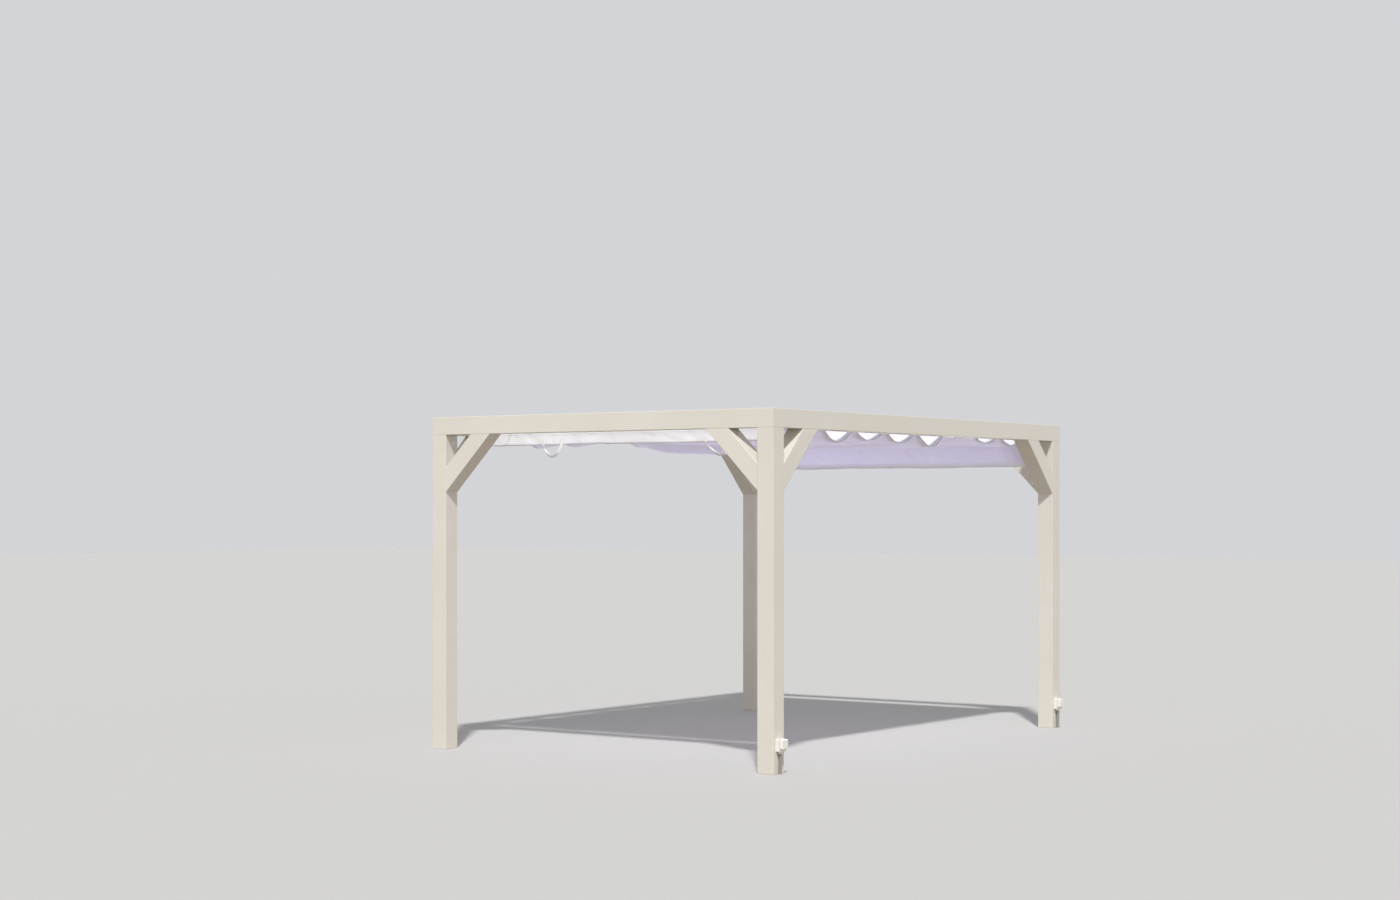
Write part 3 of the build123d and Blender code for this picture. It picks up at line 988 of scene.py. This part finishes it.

# %% [markdown]
# ## Webbing
# The straps are woven in a herringbone of thick yarns, whose twill lines carry
# painted shade in a greyer colour. Both ends are sewn to the cloth in a box: two rows
# across and one along each side. The strap's UV map and its distance from the sewn end place those stitches.

# %% Webbing finish
WEBBING_WHITE = (0.90, 0.90, 0.93)
WEBBING_PAINTED_SHADE = (0.66, 0.65, 0.70)
WEBBING_THREAD = (0.45, 0.44, 0.48)
BOX_START, BOX_END = 0.004, 0.040
BOX_HALF = 0.008


def off(value, place):
    """How far a value is from a place, either way."""
    return calculate("ABSOLUTE", calculate("SUBTRACT", value, place))


webbing, webbing_shader = new_finish("white webbing", Roughness=0.7, Specular_IOR_Level=0.3)
_, along_strap, across_strap = cloth_place(webbing)
zigzag = calculate("ABSOLUTE", across_strap)
twill = map_range(waves_of(calculate("ADD", along_strap, zigzag), 0.0019), -1, 1)
ribs = map_range(waves_of(across_strap, 0.0024), -1, 1)
to_end = kept_number(webbing, "to_end")
rows_across = [stitch_line(off(to_end, row), across_strap, 0.0008, 0.0035) for row in (BOX_START, BOX_END)]
side_rows = stitch_line(off(zigzag, BOX_HALF), along_strap, 0.0008, 0.0035)
side_rows = times(side_rows, map_range(to_end, BOX_END, BOX_END + 0.0005, 1, 0))
sewn = calculate("MAXIMUM", side_rows, calculate("MAXIMUM", *rows_across))
# Painted shade: a share of a greyer colour follows the twill, standing in for the shading of the weave.
webbing_with_painted_shade = blend(times(twill, 0.12), WEBBING_WHITE, WEBBING_PAINTED_SHADE)
webbing_with_painted_shade = blend(times(sewn, 0.45), webbing_with_painted_shade, WEBBING_THREAD)
feed(webbing_shader.inputs["Base Color"], webbing_with_painted_shade)
raise_surface(webbing_shader, calculate("ADD", twill, times(ribs, 0.5)), 0.00022)
raise_surface(webbing_shader, sewn, 0.0003)
for strap in (front_strap, back_strap):
    cover(strap, webbing)
print("webbing", WEBBING_WIDTH * 1000, "mm wide")

# %% [markdown]
# ## Metal above the cloth
# The battens are drawn aluminium, satin anodised: faint lines run along each
# bar. The wires are laid up from strands, so their relief is a spiral: the angle
# round the wire plus the way along it, in a sine. The eye bolts and
# turnbuckles are stainless steel, a little duller in patches, with a thread on
# the two screws of each turnbuckle.

# %% Battens and steel
BATTEN_DULL, BATTEN_BRIGHT = (0.70, 0.71, 0.72), (0.80, 0.81, 0.82)
STEEL_DULL, STEEL_BRIGHT = (0.60, 0.60, 0.60), (0.72, 0.72, 0.71)

batten_metal, batten_shader = new_finish("satin anodised bar", Metallic=1.0)
drawn = noise(turned(here(batten_metal), scale=(900, 4, 900)), 1.0, 3)
gloss = map_range(drawn, 0.2, 0.8, 0.30, 0.44)
feed_all(batten_shader, Base_Color=blend(drawn, BATTEN_DULL, BATTEN_BRIGHT), Roughness=gloss)
raise_surface(batten_shader, drawn, 0.00004)
for name in batten_names:
    cover(nodes[name], batten_metal)


def steel(name):
    """Satin stainless steel with faint patches and fine scratches."""
    material, shader = new_finish(name, Metallic=1.0)
    dull = noise(here(material), 60, 4)
    gloss = map_range(dull, 0.3, 0.7, 0.24, 0.42)
    feed_all(shader, Base_Color=blend(dull, STEEL_DULL, STEEL_BRIGHT), Roughness=gloss)
    raise_surface(shader, noise(turned(here(material), scale=(120, 900, 900)), 1.0, 2), 0.00003)
    return material, shader


print("battens finished", len(batten_xs))

# %% Wires and fittings
STRANDS = 6
LAY = 0.032
THREAD_PITCH = 0.0008
WIRE_END = 1.74


def diagonal(first, second):
    """The length of a diagonal over two sides at right angles."""
    squares = [times(side, side) for side in (first, second)]
    return calculate("SQRT", calculate("ADD", *squares))


def about_wire(material):
    """Angle and distance round the nearer wire, and the place along it."""
    parts = parts_of(here(material))
    aside = calculate("SUBTRACT", calculate("ABSOLUTE", parts["Y"]), WIRE_Y)
    up = calculate("SUBTRACT", parts["Z"], WIRE_Z)
    return calculate("ARCTAN2", aside, up), diagonal(aside, up), parts["X"]


wire_steel, wire_shader = steel("stranded wire")
angle, distance, along_wire = about_wire(wire_steel)
spiral = times(along_wire, 2 * pi * STRANDS / LAY)
spiral = calculate("ADD", times(angle, STRANDS), spiral)
strands = calculate("ABSOLUTE", calculate("SINE", times(spiral, 0.5)))
off_end = map_range(calculate("ABSOLUTE", along_wire), WIRE_END, WIRE_END + 0.001, 1, 0)
on_wire = times(map_range(distance, 0.0030, 0.0032, 1, 0), off_end)
raise_surface(wire_shader, times(strands, on_wire), 0.0007)

fitting_steel, fitting_shader = steel("satin stainless fittings")
_, distance, along_wire = about_wire(fitting_steel)
thread = map_range(waves_of(along_wire, THREAD_PITCH), -1, 1)
on_screw = map_range(distance, 0.0027, 0.0029, 1, 0)
raise_surface(fitting_shader, times(thread, on_screw), 0.0004)
for row in ("front", "back"):
    cover(nodes[f"{row}_wire"], wire_steel)
    cover(nodes[f"{row}_turnbuckle"], fitting_steel)
    for side in ("left", "right"):
        cover(nodes[f"{row}_{side}_eye_bolt"], fitting_steel)
print("wire height", round(WIRE_Z, 4))

# %% [markdown]
# ## Plastic of the sockets and conduits
# The sockets are moulded in glossy white, with a faint orange peel. The dark line
# of rubber where the lid closes on the base is worked out from the distance to
# the lid's rounded outline, so that it follows the lid on both sockets. The
# conduit is a duller grey, paler where it is rubbed, with dust near the ground.

# %% Socket plastic
SOCKET_WHITE = (0.84, 0.815, 0.79)
SOCKET_AGED = (0.79, 0.76, 0.715)
RUBBER = (0.06, 0.06, 0.06)
LID_CORNER = 0.005

lid_low, lid_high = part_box("left_socket_lid")
lid_x, _, lid_z = middle("left_socket_lid")
LID_SEAT_Y = lid_high.y
straight_wide = (lid_high.x - lid_low.x) / 2 - LID_CORNER
straight_tall = (lid_high.z - lid_low.z) / 2 - LID_CORNER


def outside(value, centre, half):
    """How far a value is past the end of a range, and 0 inside it."""
    return calculate("MAXIMUM", calculate("SUBTRACT", off(value, centre), half), 0.0)


socket_plastic, socket_shader = new_finish("white moulded plastic")
parts = parts_of(here(socket_plastic))
beside = outside(calculate("ABSOLUTE", parts["X"]), abs(lid_x), straight_wide)
above = outside(parts["Z"], lid_z, straight_tall)
off_lid = calculate("SUBTRACT", diagonal(beside, above), LID_CORNER)
off_seal = calculate("MAXIMUM", off(parts["Y"], LID_SEAT_Y), off_lid)
rubber = map_range(off_seal, 0.0007, 0.0010, 1, 0)
age = noise(here(socket_plastic), 18, 4)
socket_colour = blend(map_range(age, 0.35, 0.7, 0, 0.5), SOCKET_WHITE, SOCKET_AGED)
gloss = map_range(age, 0.3, 0.7, 0.24, 0.40)
feed_all(socket_shader, Base_Color=blend(rubber, socket_colour, RUBBER), Roughness=gloss)
raise_surface(socket_shader, noise(here(socket_plastic), 700, 2), 0.00004)
for side in ("left", "right"):
    cover(nodes[f"{side}_socket_base"], socket_plastic)
    cover(nodes[f"{side}_socket_lid"], socket_plastic)
print("lid closes at y", round(LID_SEAT_Y, 4))

# %% Conduit plastic
CONDUIT_GREY = (0.30, 0.293, 0.275)
CONDUIT_RUBBED = (0.345, 0.337, 0.315)
DUST = (0.45, 0.41, 0.35)
DUST_TOP = 0.06

conduit_plastic, conduit_shader = new_finish("grey conduit plastic")
worn = noise(here(conduit_plastic), 90, 4)
low_down = map_range(parts_of(here(conduit_plastic))["Z"], 0.0, DUST_TOP, 1, 0)
dusty = times(map_range(worn, 0.35, 0.7), low_down)
tube_colour = blend(map_range(worn, 0.3, 0.7), CONDUIT_GREY, CONDUIT_RUBBED)
tube_colour = blend(times(dusty, 0.6), tube_colour, DUST)
feed_all(conduit_shader, Base_Color=tube_colour, Roughness=map_range(worn, 0.3, 0.7, 0.42, 0.62))
raise_surface(conduit_shader, worn, 0.00005)
for tube in (left_tube, right_tube):
    cover(tube, conduit_plastic)
print("conduit dusty up to", DUST_TOP, "m")

# %% [markdown]
# ## Screws
# Two countersunk screws hold each end of a knee brace, with their heads nearly
# flush on its underside. Two more go down into each post through the ring of
# beams, and two small ones hold each socket to its post. One head is modelled,
# with a star-shaped recess, and every other is a copy turned to its face.

# %% One screw head
HEAD_RADIUS = 0.0058
HEAD_HEIGHT = 0.0016
RIM, RECESS_RIM = 0.0006, 0.0024
CROWN, RECESS = 0.0003, 0.0012
RECESS_RADIUS = 0.0032
STAR_POINT = 8

bpy.ops.object.select_all(action="DESELECT")
bpy.ops.mesh.primitive_cylinder_add(vertices=24, radius=HEAD_RADIUS, depth=HEAD_HEIGHT, location=(0, 0, 0))
screw = bpy.context.object
screw.name = "screw_head"
go_to("EDIT")
bpy.ops.mesh.select_mode(type="FACE")
bpy.ops.mesh.select_all(action="DESELECT")
go_to("OBJECT")
for face in screw.data.polygons:
    face.select = face.normal.z > 0.9
go_to("EDIT")
bpy.ops.mesh.inset(thickness=RIM)
bpy.ops.transform.translate(value=(0, 0, CROWN))
bpy.ops.mesh.inset(thickness=RECESS_RIM)
bpy.ops.mesh.extrude_region_move(TRANSFORM_OT_translate={"value": (0, 0, -RECESS)})
go_to("OBJECT")
for point in screw.data.vertices:
    turn = degrees(atan2(point.co.y, point.co.x)) % 60
    on_point = turn < STAR_POINT or turn > 60 - STAR_POINT
    point.select = on_point and sqrt(point.co.x**2 + point.co.y**2) < RECESS_RADIUS
go_to("EDIT")
bpy.ops.mesh.select_mode(type="VERT")
bpy.ops.transform.resize(value=(1.3, 1.3, 1), center_override=(0, 0, 0))
go_to("OBJECT")
bpy.ops.object.shade_smooth_by_angle(angle=radians(35))
print("screw head", len(screw.data.polygons), "faces")

# %% [markdown]
# The places follow from the boxes of one brace, one post and one socket, and are
# mirrored to the others by their signs. The heads could be placed by hand, but
# this way each sits on its face and moves with the frame. At the end they are
# joined to one piece, because they are many and share one finish.

# %% Where the screws go
BRACE_END = 0.055
BRACE_ASIDE, CORNER_ASIDE, SOCKET_ASIDE = 0.03, 0.022, 0.026
SOCKET_UP = 0.0195
SMALL = 0.6

brace_low, brace_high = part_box("front_left_long_brace")
REACH = brace_high.x - brace_low.x
BRACE_FOOT = brace_high.z - REACH
post_x, post_y, _ = [abs(value) for value in middle("front_left_post")]
inner_x, inner_y = abs(brace_low.x), abs(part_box("front_left_post")[1].y)
socket_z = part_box("left_socket_base")[0].z + SOCKET_UP
places = []
for sx in (-1, 1):
    for sy in (-1, 1):
        for from_post in (BRACE_END, REACH * sqrt(2) - BRACE_END):
            step = from_post / sqrt(2)
            z = BRACE_FOOT + step
            for aside in (-BRACE_ASIDE, BRACE_ASIDE):
                places.append(((sx * (inner_x - step), sy * post_y + aside, z), (-sx, 0, -1), 1.0))
                places.append(((sx * post_x + aside, sy * (inner_y - step), z), (0, -sy, -1), 1.0))
        for shift in (-CORNER_ASIDE, CORNER_ASIDE):
            places.append(((sx * (post_x + shift), sy * (post_y - shift), cad_box[1][2]), (0, 0, 1), 1.0))
for sx in (-1, 1):
    for aside in (-SOCKET_ASIDE, SOCKET_ASIDE):
        places.append(((sx * post_x + aside, LID_SEAT_Y, socket_z), (0, -1, 0), SMALL))
print("screw places", len(places))

# %% Copies of the head
heads = []
for spot, outwards, scale in places:
    head = put_in_scene("screw_head", screw.data.copy())
    facing = Vector(outwards).to_track_quat("Z", "Y").to_matrix().to_4x4()
    head.matrix_world = Matrix.Translation(spot) @ facing @ Matrix.Scale(scale, 4)
    heads.append(head)
bpy.data.objects.remove(screw)
select_only(*heads)
bpy.ops.object.join()
screws = bpy.context.object
screws.name = "screw_heads"
bpy.ops.object.transform_apply(location=True, rotation=True, scale=True)
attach(screws, "root")
cover(screws, steel("stainless screws")[0])
print("screws", len(places), "faces", len(screws.data.polygons))
